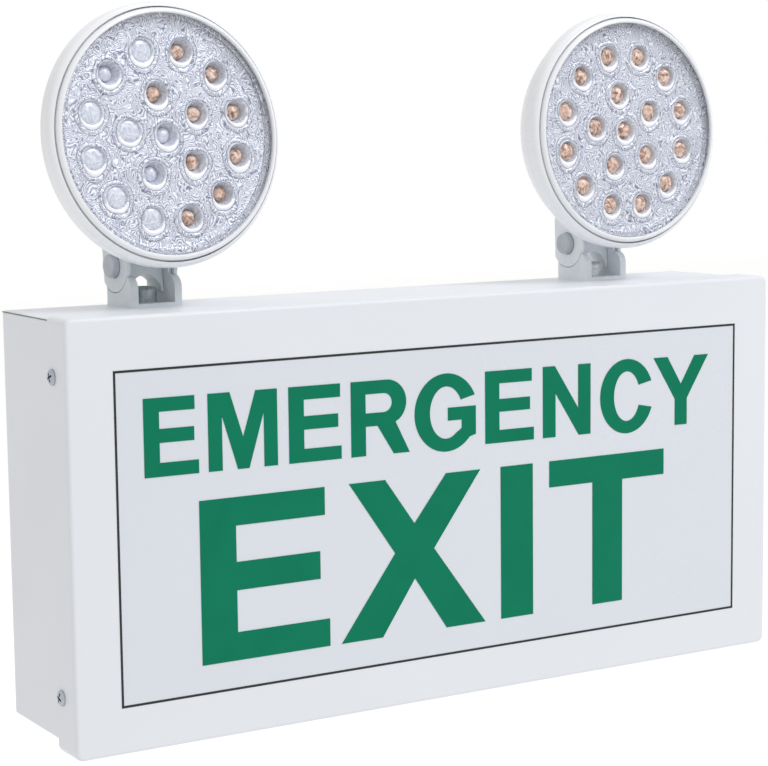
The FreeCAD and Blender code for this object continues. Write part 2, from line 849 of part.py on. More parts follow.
def pivot_nut():
    half = yoke_width / 2
    nut = hexagon(pivot_nut_across, pivot_nut_height, vec(half, 0, 0), X_AXIS)
    return nut.cut(rod(pivot_bolt_radius + running_fit, 3 * pivot_nut_height,
                       vec(half - pivot_nut_height, 0, 0), X_AXIS))


def pad_screws():
    length = pad_back + lamp_forward - lamp_depth + shell_wall
    return [pan_screw(pad_screw_radius, length, pad_screw_head, pad_screw_head_height,
                      vec(0, pad_back, z), Y_AXIS.negative()) for z in (pad_screw_low, pad_screw_high)]


def lamp_shell():
    lean = math.sqrt(0.5)
    rim_middle = (mouth_radius + lean * (rim_radius - mouth_radius), (1 - lean) * rim_front)
    shell = turned((mouth_radius, 0), (rim_middle, (rim_radius, rim_front)),
                   *lamp_outside(0), (0, lamp_depth),
                   (0, lamp_depth - shell_wall), (back_radius - shell_wall, lamp_depth - shell_wall),
                   (bowl_middle(-lean * shell_wall), (seat_radius, bowl_start)),
                   (seat_radius, seat_depth), (mouth_radius, seat_depth))
    shell = on_lamp_axis(shell)
    holes = [rod(pad_screw_radius + running_fit, 3 * shell_wall,
                 vec(0, -lamp_forward + lamp_depth - 2 * shell_wall, z), Y_AXIS)
             for z in (pad_screw_low, pad_screw_high)]
    return cut(shell, holes)


def lamp_bezel():
    outer = mouth_radius - bezel_gap
    lip = outer - bezel_step
    crown = (lip - bezel_step, bezel_step - bezel_proud)
    ring = turned((outer, seat_depth), (outer, seat_depth / 2), (lip, seat_depth / 2 - bezel_step),
                  (lip, bezel_step), (crown, (bezel_inner + bezel_step, -bezel_proud)),
                  (bezel_inner, bezel_step - bezel_proud), (bezel_inner, 0),
                  (outer - bezel_skirt, 0), (outer - bezel_skirt, seat_depth))
    return on_lamp_axis(ring)


def cap_middle(radius, edge, apex):
    """Point half way along a cap's arc whose middle lies on the lamp's axis."""
    sag = edge - apex
    ball = (radius ** 2 + sag ** 2) / (2 * sag)
    return (radius / 2, apex + ball - math.sqrt(ball ** 2 - radius ** 2 / 4))


def lamp_lens():
    dome = bezel_inner - lens_edge_gap
    inside = lens_thickness - lens_land
    inner_apex = lens_thickness - lens_dome
    lens = turned((lens_edge, 0), (dome, 0), (dome, -lens_land),
                  (cap_middle(dome, -lens_land, -lens_dome), (0, -lens_dome)), (0, inner_apex),
                  (cap_middle(optic_radius, inside, inner_apex), (optic_radius, inside)),
                  (optic_radius, lens_thickness), (lens_edge, lens_thickness))
    return on_lamp_axis(lens)


def cup_places():
    """Middle of every optic cup, across and up from the lamp's axis."""
    places = [(0, 0)]
    for count, ring, turn in ((outer_cups, outer_cup_ring, outer_cup_turn),
                              (inner_cups, inner_cup_ring, inner_cup_turn)):
        for k in range(count):
            angle = math.radians(turn + 360 * k / count)
            places.append((ring * math.sin(angle), ring * math.cos(angle)))
    return places


def optic_tray():
    land = optic_radius - optic_land
    body = turned((0, optic_front), (land, optic_front), (land, lens_thickness),
                  (lens_edge, lens_thickness), (lens_edge, seat_depth), (optic_radius, seat_depth),
                  (optic_radius, optic_back), (0, optic_back))
    cups = [Part.makeCone(cup_mouth, cup_throat, optic_back - optic_front, vec(x, optic_front, z), Y_AXIS)
            for x, z in cup_places()]
    return on_lamp_axis(body.cut(Part.makeCompound(cups)))


def lamp_led_board():
    return on_lamp_axis(rod(lamp_board_radius, lamp_board, vec(0, optic_back, 0), Y_AXIS))


def lamp_leds():
    half = lamp_led_size / 2
    low = optic_back - lamp_led_height
    return [on_lamp_axis(block(x - half, x + half, low, optic_back, z - half, z + half))
            for x, z in cup_places()]


def placed(shape, side, pan, tilt):
    """Move a piece from its own drawing to its place on the sign; tilt None leaves it level."""
    shape = shape.copy()
    if tilt is not None:
        shape.rotate(vec(0, 0, 0), X_AXIS, -tilt)
        shape.translate(vec(0, pivot_behind_swivel, pivot_height))
    shape.rotate(vec(0, 0, 0), Z_AXIS, pan)
    shape.translate(vec(swivel_x(side), -swivel_from_wall, box_top))
    return shape


def save(name, shape):
    solids = shape if isinstance(shape, list) else [shape]
    shape = Part.makeCompound(solids) if len(solids) > 1 else solids[0]
    if not shape.isValid() or shape.Volume <= 0:
        print("bad shape:", name)
    shape.exportStep("parts/" + name + ".step")


def main():
    os.makedirs("parts", exist_ok=True)
    for piece in (front_cover, rear_box, cover_screws, sign_panel, panel_clips, clip_nuts, reflector_tray,
                  tray_standoffs, tray_screws, sign_led_boards, sign_leds, battery_pack, battery_strap,
                  strap_screws, charger_board, board_standoffs, board_screws, transformer_core,
                  transformer_coil, capacitors, relay, terminal_block, cable_bush, switch_body,
                  switch_nut, test_button, pilot_lamp):
        save(piece.__name__, piece())
    fixed = {"swivel_bolt": swivel_bolt, "swivel_washer": swivel_washer_ring, "swivel_nut": swivel_nut}
    tilting = {"knuckle": knuckle, "pivot_bolt": pivot_bolt, "pivot_nut": pivot_nut,
               "knuckle_screws": pad_screws, "lamp_shell": lamp_shell, "lamp_bezel": lamp_bezel,
               "lamp_lens": lamp_lens, "optic_tray": optic_tray, "lamp_board": lamp_led_board,
               "lamp_leds": lamp_leds}

    def place_all(shape, *how):
        if isinstance(shape, list):
            return [placed(one, *how) for one in shape]
        return placed(shape, *how)

    for name, (side, pan, tilt) in head_turns.items():
        for piece, draw in fixed.items():
            save(name + "_" + piece, place_all(draw(), side, 0, None))
        save(name + "_yoke", place_all(yoke(), side, pan, None))
        for piece, draw in tilting.items():
            save(name + "_" + piece, place_all(draw(), side, pan, tilt))


main()
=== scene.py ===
import json
import math

import bmesh
import bpy
from mathutils import Matrix, Vector, noise

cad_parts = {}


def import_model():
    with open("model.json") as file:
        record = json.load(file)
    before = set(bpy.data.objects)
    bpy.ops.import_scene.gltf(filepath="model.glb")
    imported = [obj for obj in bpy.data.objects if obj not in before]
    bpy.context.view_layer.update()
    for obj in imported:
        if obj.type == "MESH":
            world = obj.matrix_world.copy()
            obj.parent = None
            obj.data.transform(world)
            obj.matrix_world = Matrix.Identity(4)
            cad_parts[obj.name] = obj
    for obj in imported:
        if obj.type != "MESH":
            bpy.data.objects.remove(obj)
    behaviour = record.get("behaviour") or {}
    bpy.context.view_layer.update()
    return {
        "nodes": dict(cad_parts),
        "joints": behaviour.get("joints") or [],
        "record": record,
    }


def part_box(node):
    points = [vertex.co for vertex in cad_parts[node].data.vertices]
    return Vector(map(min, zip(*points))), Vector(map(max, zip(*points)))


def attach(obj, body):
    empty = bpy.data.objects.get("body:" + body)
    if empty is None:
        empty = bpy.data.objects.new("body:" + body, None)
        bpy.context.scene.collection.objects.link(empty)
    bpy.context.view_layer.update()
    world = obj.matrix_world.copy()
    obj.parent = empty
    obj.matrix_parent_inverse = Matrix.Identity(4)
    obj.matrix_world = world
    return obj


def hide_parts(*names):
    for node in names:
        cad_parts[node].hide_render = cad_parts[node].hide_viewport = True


# Looks of an illuminated exit sign with two lamp heads. Units are metres, in the part's own
# frame: X to the viewer's right, -Y to the front, Z up, the wall plane at y = 0.

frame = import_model()
MM = 0.001

# Numbers of the colour sockets of a Mix node
MIX_FIRST, MIX_SECOND, MIX_RESULT = 6, 7, 2

# Camera, as fitted to the photograph's edges
camera_place = (-0.5122, -0.8606, 0.16765)
camera_yaw = 31.14
camera_pitch = 7.07
camera_roll = -0.67
camera_lens = 99.79
sensor_width = 36.0

# Light
sky_strength = 0.65
sky_tint = (1.0, 0.992, 0.965)
floor_drop = 0.34
floor_half = 6.0
floor_colour = (0.86, 0.86, 0.87)
floor_lift = 0.40
floor_glow = 0.13
key_light = {"place": (0.9, -1.5, 2.0), "target": (0, 0, 0.05), "size": 1.1, "power": 24.0,
             "colour": (0.955, 0.970, 1.0)}
fill_light = {"place": (-1.9, -0.9, 0.6), "target": (0, 0, 0.05), "size": 1.2, "power": 0.6,
              "colour": (1.0, 0.88, 0.74)}
top_light = {"place": (0.2, 0.25, 1.8), "target": (0, -0.03, 0.09), "size": 1.0, "power": 2.5,
             "colour": (1.0, 1.0, 1.0)}

# Legend: cap heights and places on the panel, in millimetres
legend_film = 0.18
word_low, word_high = 21.7, 54.6
exit_low, exit_high = -60.1, 10.3
word_bar, exit_bar = 5.8, 12.2
word_slope, word_level_x = -0.0045, -20.0

# Black line round the panel: its outer edge's reach from the middle and its height there
border_half_x, border_half_z = 163.4, 70.2
border_middle = -2.65
border_width = 1.0
border_proud, border_depth = 0.12, 0.9

# Lamp heads, each in its own frame: x across, y backwards along the lamp's axis, z up
lamp_forward = 0.0334
lamp_rise = 0.0537
lamp_board_middle = 0.0098
lens_edge = 52.4
lens_dome_edge = 50.8
lens_dome = 3.0
lens_land = 0.7
lens_thickness = 2.0
lens_wall = 1.8
lens_segments = 300
lens_rings = 78
ripple_height = 0.045
ripple_length = 8.0
ripple_turns = 6.0
ripple_fade = 2.5
ripple_sink = 0.6
ripple_coarse, ripple_fine, ripple_fine_step = 0.7, 0.6, 3.1
cup_mouth = 5.0
cup_throat = 2.8
cup_front = 3.0
cup_back = 9.0
# Collars round the cups' mouths: radius and height of each ring of the profile, and what each band is
collar_profile = ((8.3, 0.03), (8.1, 0.04), (7.8, 0.28), (7.3, 0.42), (6.85, 0.40), (6.55, 0.24),
                  (6.4, 0.05), (6.15, 0.04), (5.95, 0.34), (5.5, 0.50), (5.05, 0.22))
collar_bands = ("groove", "film", "film", "film", "film", "film", "groove", "lip", "lip", "lip",
                "cup", "cup", "cup", "cup")
collar_segments = 48
collar_blend = 1.2
collar_wobble = 0.10
collar_drift, collar_step = 0.37, 0.9
collar_spread, collar_shrink = 1.6, 0.3
collar_sag = 0.20
collar_lift = 0.10
# How far round from the bottom of each cup the lip takes the painted highlight, in degrees
highlight_reach = 66.0
liner_depths = (0.4, 1.6, 3.2, 4.8)
liner_wall = 0.06
film_inner = 45.6
film_outer = 50.2
film_rise = 1.1
film_wave, film_waves = 0.10, 3
film_lift = 0.02
cup_rings = ((12, 36.4, -15.0), (5, 17.7, -12.0), (1, 0.0, 0.0))

# Places in the noise from which each lamp's ripple and collars are taken
lens_seed, lens_seed_step = 3.7, 9
collar_seed, collar_seed_step = 5.1, 7

# What shows in each cup: an amber dome low down, the same in silver, or a clear cap at the mouth
cup_looks = {"left": {"amber": (1, 2, 3, 4, 5, 6, 12, 13, 14), "silver": (11, 15, 17),
                      "cap": (0, 7, 8, 9, 10, 16)},
             "right": {"amber": tuple(range(18)), "silver": (), "cap": ()}}
dome_shapes = {"left": {"amber": (3.2, 6.6, 2.6), "silver": (3.3, 7.2, 2.4), "cap": (4.75, 3.9, 1.2)},
               "right": {"amber": (4.1, 5.4, 2.6)}}

# Dark ring round each pivot bolt's head, a painted shadow where the head sits on the ear
yoke_half_width = 12.5
bolt_head_radius = 5.1
ring_width = 0.32
ring_proud, ring_depth = 0.05, 0.2

# Cover screws
screw_head_radius = 3.4
screw_head_height = 1.6
screw_rim = 0.55
screw_bulge = 0.8
screw_turn, screw_turn_step = 20, 47
screw_cross_length = 2.7
screw_cross_width = 0.55
screw_cross_depth = 1.35
screw_cutter_reach = 3.0
screw_cross_taper = (0.6, 0.8)

# Folded seam along the top of each side of the box
seam_drop = 0.35
seam_height = 0.45
seam_proud, seam_depth = 0.03, 0.2
seam_from_back, seam_from_front = 0.6, 21.0


def linear(red, green, blue):
    """Linear colour of an sRGB one that is given from 0 to 255."""
    def one(value):
        value /= 255
        return value / 12.92 if value <= 0.04045 else ((value + 0.055) / 1.055) ** 2.4
    return (one(red), one(green), one(blue))


# Materials

class Paint:
    """A node material with one Principled shader and helpers that wire textures to it."""

    def __init__(self, name, colour, roughness, metallic=0.0, **sockets):
        self.material = bpy.data.materials.new(name)
        self.material.use_nodes = True
        self.tree = self.material.node_tree
        self.shader = self.tree.nodes["Principled BSDF"]
        self.shader.inputs["Base Color"].default_value = (*colour, 1)
        self.shader.inputs["Roughness"].default_value = roughness
        self.shader.inputs["Metallic"].default_value = metallic
        for socket, value in sockets.items():
            self.shader.inputs[socket.replace("_", " ")].default_value = value
        self.coordinates = self.tree.nodes.new("ShaderNodeTexCoord").outputs["Object"]

    def node(self, kind, links=None, **settings):
        made = self.tree.nodes.new(kind)
        for setting, value in settings.items():
            setattr(made, setting, value)
        for socket, value in (links or {}).items():
            target = made.inputs[socket]
            if isinstance(value, bpy.types.NodeSocket):
                self.tree.links.new(value, target)
            else:
                target.default_value = value
        return made

    def noise(self, scale, detail=3.0, distortion=0.0, place=None):
        made = self.node("ShaderNodeTexNoise", {"Vector": place or self.coordinates, "Scale": scale,
                                                "Detail": detail, "Distortion": distortion})
        return made.outputs["Fac"]

    def math(self, operation, first, second=0.0):
        return self.node("ShaderNodeMath", {0: first, 1: second}, operation=operation).outputs[0]

    def spread(self, value, low, high, out_low, out_high):
        made = self.node("ShaderNodeMapRange", {"Value": value, "From Min": low, "From Max": high,
                                                "To Min": out_low, "To Max": out_high})
        return made.outputs["Result"]

    def ramp(self, value, stops):
        made = self.node("ShaderNodeValToRGB", {"Fac": value})
        ramp = made.color_ramp
        while len(ramp.elements) < len(stops):
            ramp.elements.new(0.5)
        for element, (place, colour) in zip(ramp.elements, stops):
            element.position = place
            element.color = (*colour, 1)
        return made.outputs["Color"]

    def wire(self, socket, value):
        self.tree.links.new(value, self.shader.inputs[socket])

    def bump(self, height, strength, depth):
        made = self.node("ShaderNodeBump", {"Height": height, "Strength": strength, "Distance": depth})
        self.wire("Normal", made.outputs["Normal"])


def shaded(colour, factor):
    return tuple(min(1.0, part * factor) for part in colour)


def mottled(name, colour, roughness, metallic=0.0, blotch=20.0, depth=0.04, grain=900.0,
            grain_depth=0.00002, rough_spread=0.06, **sockets):
    """A plain finish with soft blotches of tone, an uneven sheen and a fine grain."""
    paint = Paint(name, colour, roughness, metallic, **sockets)
    blotches = paint.noise(blotch, 4.0, 0.4)
    paint.wire("Base Color", paint.ramp(blotches, ((0.3, shaded(colour, 1 - depth)),
                                                   (0.7, shaded(colour, 1 + depth)))))
    sheen = paint.noise(blotch * 2.7, 3.0)
    paint.wire("Roughness", paint.spread(sheen, 0.3, 0.7, roughness - rough_spread,
                                         roughness + rough_spread))
    paint.bump(paint.noise(grain, 2.0), 0.35, grain_depth)
    return paint.material


def brushed(name, colour, roughness, stretch):
    """Plated or rolled metal with fine drawn lines along one axis."""
    paint = Paint(name, colour, roughness, 1.0)
    lines = paint.node("ShaderNodeMapping", {"Vector": paint.coordinates, "Scale": stretch})
    drawn = paint.noise(1.0, 4.0, place=lines.outputs["Vector"])
    cloud = paint.noise(60.0, 3.0)
    tone = paint.math("ADD", paint.math("MULTIPLY", drawn, 0.6), paint.math("MULTIPLY", cloud, 0.4))
    paint.wire("Base Color", paint.ramp(tone, ((0.3, shaded(colour, 0.82)),
                                               (0.7, shaded(colour, 1.1)))))
    paint.wire("Roughness", paint.spread(drawn, 0.2, 0.8, roughness * 0.7, roughness * 1.4))
    paint.bump(drawn, 0.25, 0.00002)
    return paint.material


def cast_grey(name, colour):
    """Satin moulded metal-grey in cloudy tones, with a painted highlight that makes it paler along its
    edges.
    """
    paint = Paint(name, colour, 0.42)
    cloud = paint.noise(140.0, 5.0, 0.6)
    edge = paint.node("ShaderNodeNewGeometry").outputs["Pointiness"]
    tone = paint.ramp(cloud, ((0.3, shaded(colour, 0.90)), (0.55, colour),
                              (0.75, shaded(colour, 1.08))))
    # Painted highlight: the sharpest edges, found by pointiness, are mixed towards a paler grey.
    edge_highlight = paint.spread(edge, 0.52, 0.60, 0.0, 0.5)
    mixed = paint.node("ShaderNodeMix", {"Factor": edge_highlight}, data_type="RGBA")
    paint.tree.links.new(tone, mixed.inputs[MIX_FIRST])
    mixed.inputs[MIX_SECOND].default_value = (*shaded(colour, 1.12), 1)
    paint.wire("Base Color", mixed.outputs[MIX_RESULT])
    paint.wire("Roughness", paint.spread(cloud, 0.3, 0.7, 0.34, 0.52))
    paint.bump(paint.noise(1100.0, 3.0), 0.4, 0.00003)
    return paint.material


def contour_lines(paint, scale, turns, wobble):
    """Wave from -1 to 1 whose crests follow the contours of a soft noise, as on wrinkled film."""
    drift = paint.noise(scale, 1.2, 0.5)
    jitter = paint.math("MULTIPLY", paint.noise(900.0, 2.0), wobble)
    return paint.math("SINE", paint.math("ADD", paint.math("MULTIPLY", drift, turns), jitter))


def wrinkled_silver():
    """Metallised film with close wandering wrinkles, with painted shade in their valleys and a painted
    highlight on their crests.
    """
    paint = Paint("wrinkled_silver", linear(214, 217, 230), 0.34, 0.20)
    waves = contour_lines(paint, 190.0, 84.0, 2.6)
    # The ramp paints dark shade along the wrinkles' troughs and a near-white highlight along their
    # crests.
    paint.wire("Base Color", paint.ramp(paint.spread(waves, -1.0, 1.0, 0.0, 1.0), (
        (0.00, linear(104, 108, 130)), (0.10, linear(172, 176, 194)), (0.28, linear(200, 203, 217)),
        (0.84, linear(214, 217, 230)), (0.96, linear(252, 253, 255)))))
    cloud = paint.noise(60.0, 3.0)
    paint.wire("Roughness", paint.spread(cloud, 0.3, 0.7, 0.26, 0.42))
    paint.bump(waves, 0.5, 0.0001)
    return paint.material


def pearly_film():
    """Smoother silver film of the cups, with faint wrinkles drawn in faint painted shade and highlight.
    """
    paint = Paint("pearly_film", linear(212, 216, 226), 0.30, 0.10)
    waves = contour_lines(paint, 170.0, 50.0, 1.2)
    # The ramp paints faint shade in the wrinkles' troughs and a faint highlight on their crests.
    paint.wire("Base Color", paint.ramp(paint.spread(waves, -1.0, 1.0, 0.0, 1.0), (
        (0.00, linear(192, 197, 211)), (0.20, linear(208, 212, 223)), (0.80, linear(215, 219, 229)),
        (0.97, linear(230, 233, 242)))))
    cloud = paint.noise(240.0, 3.0, 1.4)
    paint.wire("Roughness", paint.spread(cloud, 0.3, 0.7, 0.22, 0.38))
    paint.bump(cloud, 0.3, 0.0002)
    return paint.material


def groove_shade():
    """Painted shade at the foot of a pressed ring in the film."""
    colour = linear(104, 110, 128)
    paint = Paint("groove_shade", colour, 0.4, 0.2)
    cloud = paint.noise(500.0, 3.0)
    paint.wire("Base Color", paint.ramp(cloud, ((0.35, shaded(colour, 0.7)),
                                                (0.62, shaded(colour, 1.5)))))
    paint.bump(cloud, 0.2, 0.00005)
    return paint.material


def clear_plastic(name, ripple_scale, ripple_depth):
    """Clear lens plastic with a soft ripple, through which the lights also reach the cups."""
    paint = Paint(name, (0.985, 0.99, 1.0), 0.02, IOR=1.46, Transmission_Weight=1.0)
    paint.bump(paint.noise(ripple_scale, 2.0, 0.5), 0.3, ripple_depth)
    shadow = paint.node("ShaderNodeLightPath").outputs["Is Shadow Ray"]
    paint.wire("Alpha", paint.spread(shadow, 0.0, 1.0, 1.0, 0.08))
    return paint.material


def amber_phosphor():
    """Amber LED dome with browner spots."""
    paint = Paint("amber_phosphor", linear(224, 178, 146), 0.25)
    spots = paint.noise(430.0, 3.0, 1.0)
    paint.wire("Base Color", paint.ramp(spots, (
        (0.34, linear(104, 72, 56)), (0.45, linear(192, 148, 124)), (0.56, linear(226, 192, 170)),
        (0.72, linear(252, 240, 230)))))
    paint.bump(spots, 0.3, 0.0002)
    return paint.material


def finishes():
    """One material for each slot of the record."""
    rolled = (60.0, 60.0, 2600.0)
    return {
        "white_steel": mottled("white_powder", linear(232, 235, 241), 0.42, blotch=9.0, depth=0.012,
                               grain=1300.0, grain_depth=0.00003),
        "opal_panel": mottled("opal_acrylic", linear(223, 227, 235), 0.24, blotch=7.0, depth=0.010,
                              grain=500.0, grain_depth=0.000008, Subsurface_Weight=0.08,
                              Subsurface_Scale=0.004),
        "clear_lens": clear_plastic("rippled_glass", 420.0, 0.00012),
        "white_plastic": mottled("white_moulding", linear(244, 246, 250), 0.28, blotch=30.0,
                                 depth=0.012, grain=700.0, grain_depth=0.00001),
        "silver_optic": wrinkled_silver(),
        "grey_casting": cast_grey("cast_grey", linear(212, 219, 223)),
        "zinc_steel": brushed("zinc_plate", (0.62, 0.63, 0.66), 0.28, rolled),
        "led_phosphor": amber_phosphor(),
        "board": mottled("green_board", (0.015, 0.10, 0.045), 0.35, blotch=60.0, depth=0.15),
        "white_board": mottled("white_board", (0.78, 0.78, 0.75), 0.4, blotch=60.0, depth=0.04),
        "black_plastic": mottled("black_moulding", (0.018, 0.018, 0.019), 0.45, blotch=90.0, depth=0.2),
        "copper_coil": brushed("wound_copper", (0.55, 0.25, 0.12), 0.35, (40.0, 40.0, 1500.0)),
        "core_steel": brushed("stacked_steel", (0.22, 0.22, 0.23), 0.5, (20.0, 2400.0, 20.0)),
        "battery_wrap": mottled("battery_film", (0.02, 0.06, 0.20), 0.25, blotch=40.0, depth=0.1),
        "red_button": mottled("red_moulding", linear(176, 22, 20), 0.3, blotch=120.0, depth=0.06),
        "green_lamp": mottled("green_tint", linear(30, 150, 70), 0.12, blotch=200.0, depth=0.05,
                              Transmission_Weight=0.4),
    }


slots = finishes()
lens_back = clear_plastic("plain_glass", 200.0, 0.00003)
cup_film = pearly_film()
# Dark painted shade for the grooves of the cup collars
groove_painted_shade = groove_shade()
# Near-white painted highlight on the lower side of each cup's lip
lip_painted_highlight = mottled("lip_painted_highlight", linear(250, 250, 252), 0.25, blotch=300.0, depth=0.05)
legend_green = mottled("legend_green", linear(4, 122, 90), 0.55, blotch=40.0, depth=0.05, grain=600.0,
                       grain_depth=0.00001, Specular_IOR_Level=0.12)
screw_steel = brushed("screw_steel", linear(172, 177, 187), 0.30, (900.0, 60.0, 60.0))
# Dark grey of the box's folded seams, also used for the painted shadow rings round the pivot bolts'
# heads
seam_and_shadow_grey = mottled("seam_and_shadow_grey", linear(108, 110, 114), 0.5, blotch=200.0, depth=0.2)
border_black = mottled("border_black", linear(14, 15, 17), 0.5, blotch=80.0, depth=0.2)
# Painted light: the two swivel bolts are the same part, the left one painted a shaded, darker zinc and
# the right one a lit, paler zinc.
zinc_shaded_copy = mottled("zinc_shaded_copy", linear(158, 168, 171), 0.45, 0.35, blotch=420.0, depth=0.30,
                    grain=1500.0, grain_depth=0.00012)
bolt_grey = mottled("bolt_grey", linear(186, 191, 199), 0.40, blotch=160.0, depth=0.07, grain=1200.0,
                    grain_depth=0.00003)
zinc_lit_copy = mottled("zinc_lit_copy", linear(216, 222, 224), 0.40, 0.35, blotch=420.0, depth=0.22,
                    grain=1500.0, grain_depth=0.00012)
# Painted light: a lit, paler copy of the casting grey for the right yoke and knuckle, which match the
# left ones.
grey_lit_copy = cast_grey("grey_lit_copy", linear(231, 236, 241))
# Own finishes for some parts, among them the lit and shaded copies above, which are painted light.
looks_and_painted_light = {"left_swivel_bolt": zinc_shaded_copy, "right_swivel_bolt": zinc_lit_copy, "pivot_bolt": bolt_grey,
             "right_yoke": grey_lit_copy, "right_knuckle": grey_lit_copy}
slot_of = {part["node"]: part["material_slot"] for part in frame["record"]["subparts"]}
for name, node in frame["nodes"].items():
    node.data.materials.clear()
    own = next((look for part, look in looks_and_painted_light.items() if part in name), None)
    node.data.materials.append(own or slots[slot_of[name]])


# Mesh helpers

def piece(name, mesh, body, slot, material=None, smooth_angle=35.0):
    """An object of the part that rides on a body and takes a slot's finish."""
    mesh.materials.clear()
    mesh.materials.append(material or slots[slot])
    for face in mesh.polygons:
        face.use_smooth = True
    mesh.set_sharp_from_angle(angle=math.radians(smooth_angle))
    made = bpy.data.objects.new(name, mesh)
    bpy.context.scene.collection.objects.link(made)
    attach(made, body)
    return made


def mesh_from(name, vertices, faces):
    mesh = bpy.data.meshes.new(name)
    mesh.from_pydata([Vector(v) * MM for v in vertices], [], faces)
    mesh.update()
    return mesh


def turned(profile, segments, middle=(0, 0)):
    """Vertices and faces of a profile of (radius, y) turned about the y axis, in millimetres."""
    vertices, faces, rings = [], [], []
    for radius, along in profile:
        if radius < 1e-6:
            rings.append([len(vertices)])
            vertices.append((middle[0], along, middle[1]))
            continue
        rings.append(range(len(vertices), len(vertices) + segments))
        for k in range(segments):
            angle = 2 * math.pi * k / segments
            vertices.append((middle[0] + radius * math.sin(angle), along,
                             middle[1] + radius * math.cos(angle)))
    for a, b in zip(rings, rings[1:]):
        for k in range(segments):
            n = (k + 1) % segments
            if len(a) == 1:
                faces.append((a[0], b[n], b[k]))
            elif len(b) == 1:
                faces.append((a[k], a[n], b[0]))
            else:
                faces.append((a[k], a[n], b[n], b[k]))
    return vertices, faces


def merged(parts):
    """One list of vertices and faces from several."""
    vertices, faces = [], []
    for some_vertices, some_faces in parts:
        shift = len(vertices)
        vertices += some_vertices
        faces += [tuple(index + shift for index in face) for face in some_faces]
    return vertices, faces


# Legend letters: flat outlines in millimetres, drawn from straight runs and arcs

def arc(x, z, reach_x, reach_z, start, end, steps=24):
    """Points along an ellipse's arc; angles run from +x towards +z, in degrees."""
    points = []
    for k in range(steps + 1):
        angle = math.radians(start + (end - start) * k / steps)
        points.append((x + reach_x * math.cos(angle), z + reach_z * math.sin(angle)))
    return points


def letter_e(x, low, high, stem, bar, arms):
    """E with its stem's width, its bars' height and the reach of its three arms from the top."""
    top, middle, bottom = arms
    centre = (low + high) / 2 + bar * 0.1
    return [[(x, low), (x + bottom, low), (x + bottom, low + bar), (x + stem, low + bar),
             (x + stem, centre - bar / 2), (x + middle, centre - bar / 2),
             (x + middle, centre + bar / 2), (x + stem, centre + bar / 2), (x + stem, high - bar),
             (x + top, high - bar), (x + top, high), (x, high)]]


def letter_m(x, low, high, width, stem):
    shoulder = 10.3
    foot = 2.7
    middle = x + width / 2
    crotch = low + 13.6
    start = high - 9.6
    return [[(x, low), (x + stem, low), (x + stem, start), (middle - foot, low), (middle + foot, low),
             (x + width - stem, start), (x + width - stem, low), (x + width, low), (x + width, high),
             (x + width - shoulder, high), (middle, crotch), (x + shoulder, high), (x, high)]]


def letter_r(x, low, high, width, stem, bar):
    bowl_low = low + 12.9
    leg_left, leg_foot, leg_right = x + 13.4, x + 21.6, x + 22.6
    reach = (high - bowl_low) / 2
    bowl_middle = (high + bowl_low) / 2
    right = x + width - 0.2
    outer = arc(right - reach, bowl_middle, reach, reach, 90, -50)
    body = [(x, low), (x + stem, low), (x + stem, bowl_low), (leg_left, bowl_low), (leg_foot, low),
            (x + width + 1.4, low), (leg_right, bowl_low + 1.2)]
    body += list(reversed(outer)) + [(x, high)]
    hole_reach = reach - bar
    hole = [(x + stem, bowl_middle - hole_reach), (x + stem, bowl_middle + hole_reach)]
    hole += arc(right - stem - hole_reach, bowl_middle, hole_reach, hole_reach, 90, -90)
    return [body, hole]


def round_letter(x, low, high, width, stroke, bar, upper, lower):
    """Outer and inner arc of a C or a G, open to the right between two angles."""
    sink, overshoot, bevel, steps = 0.5, 1.1, 3, 60
    centre_x = x + width / 2
    centre_z = (low + high) / 2 - sink
    outer_x, outer_z = width / 2, (high - low) / 2 + overshoot
    inner_x, inner_z = outer_x - stroke, outer_z - bar
    outer = arc(centre_x, centre_z, outer_x, outer_z, upper, 360 + lower, steps)
    inner = arc(centre_x, centre_z, inner_x, inner_z, 360 + lower - bevel, upper + bevel, steps)
    return outer, inner


def letter_c(x, low, high, width, stroke, bar):
    outer, inner = round_letter(x, low, high, width + 0.6, stroke, bar, 22, -20)
    return [outer + inner]


def letter_g(x, low, high, width, stroke, bar):
    outer, inner = round_letter(x, low, high, width + 0.9, stroke, bar, 24, -42)
    right = x + width
    shelf = (low + high) / 2 + 1.6
    start = x + width * 0.54
    stem = right - stroke + 0.4
    tongue = [(right, low + 5.2), (right, shelf), (start, shelf), (start, shelf - bar),
              (stem, shelf - bar), (stem, low + 8.4)]
    return [outer + tongue + inner[2:]]


def letter_n(x, low, high, width, stem):
    corner = 6.8
    drop = 12.6
    return [[(x, low), (x + stem, low), (x + stem, high - drop), (x + width - corner, low),
             (x + width, low), (x + width, high), (x + width - stem, high),
             (x + width - stem, low + drop), (x + corner, high), (x, high)]]


def letter_y(x, low, high, width, stem):
    middle = x + width / 2
    fork = low + 12.6
    inner = low + 19.6
    arm = 8.4
    return [[(middle - stem / 2, low), (middle + stem / 2, low), (middle + stem / 2, fork),
             (x + width, high), (x + width - arm, high), (middle, inner), (x + arm, high), (x, high),
             (middle - stem / 2, fork)]]


def letter_x(x, low, high):
    """Broad X whose top is a little narrower than its foot."""
    left_top, right_top = x + 4.6, x + 73.2
    left_foot, right_foot = x, x + 75.6
    arm_top, arm_foot = 18.4, 21.0
    waist_z, waist_half = low + 37.1, 10.2
    low_fork, high_fork = low + 24.6, high - 20.9
    centre = x + 38.0
    return [[(left_foot, low), (left_foot + arm_foot, low), (centre, low_fork),
             (right_foot - arm_foot, low), (right_foot, low), (centre + waist_half, waist_z),
             (right_top, high), (right_top - arm_top, high), (centre, high_fork),
             (left_top + arm_top, high), (left_top, high), (centre - waist_half, waist_z)]]


def letter_i(x, low, high, stem):
    return [[(x, low), (x + stem, low), (x + stem, high), (x, high)]]


